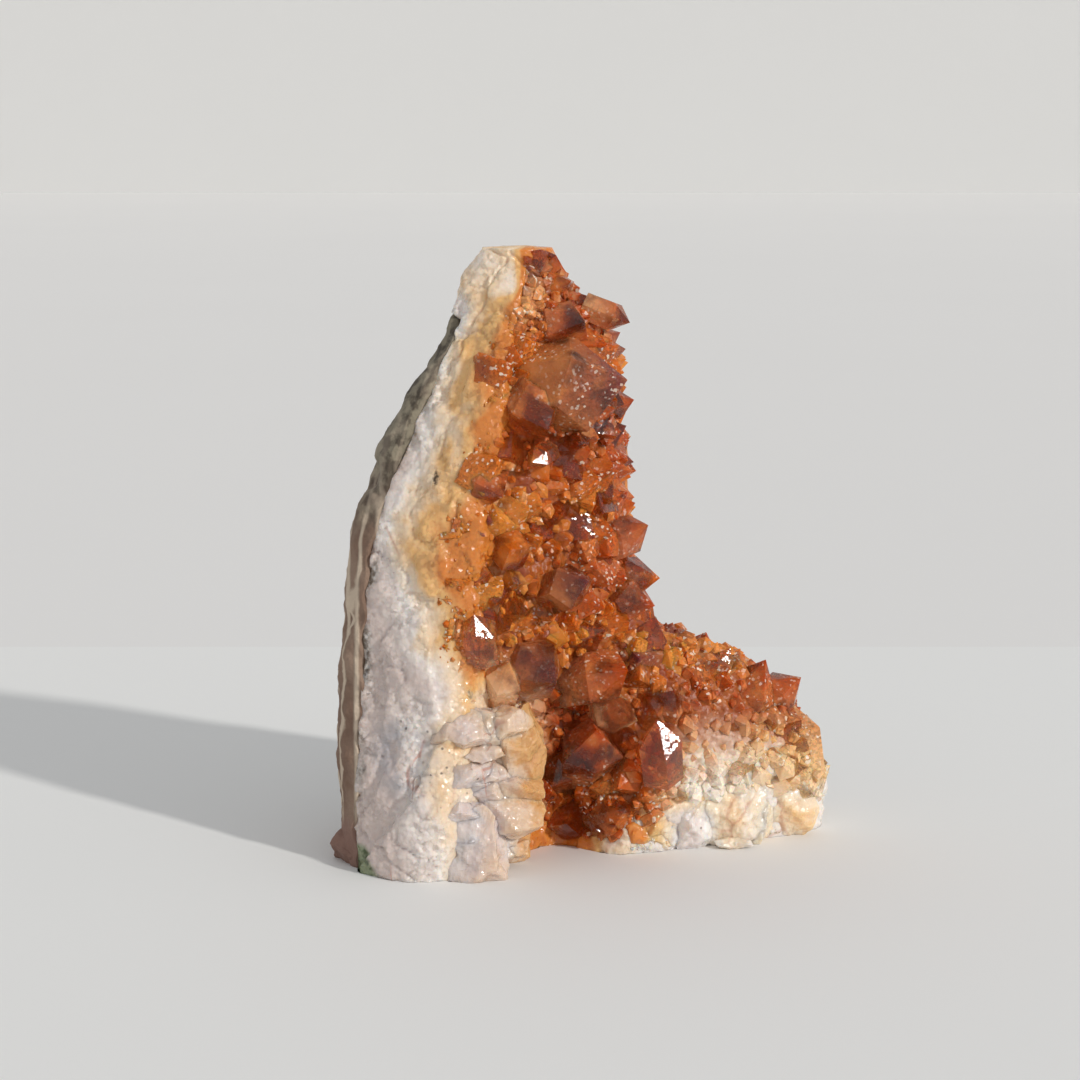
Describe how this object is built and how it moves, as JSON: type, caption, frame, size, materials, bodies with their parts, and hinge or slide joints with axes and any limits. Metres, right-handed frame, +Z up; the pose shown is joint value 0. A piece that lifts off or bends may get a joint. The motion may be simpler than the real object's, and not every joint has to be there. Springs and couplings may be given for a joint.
{
  "type": "citrine crystal cluster",
  "caption": "Free-standing geode fragment: a wall of milky quartz with a basalt rind outside and a crust of citrine points inside, resting on its flat broken base.",
  "frame": {"origin": "middle of the bounding box's bottom face, on the surface that the specimen stands on", "axes": "+Z up along the tall wall, -Y out of the broken white face, +X towards the low foot and its crystals"},
  "size_m": [0.0944, 0.0636, 0.1135],
  "materials": {
    "milky_quartz": "broken milky quartz, softly waxy with glassy grains, white to pale yellow",
    "basalt": "rough matt brown basalt skin with cream veins and green celadonite",
    "citrine": "glassy orange to rust-brown points, partly frosted, pale at the roots"
  },
  "bodies": {
    "root": {"milky_quartz_wall": "milky_quartz", "basalt_rind": "basalt", "citrine_crust": "citrine"}
  },
  "joints": []
}
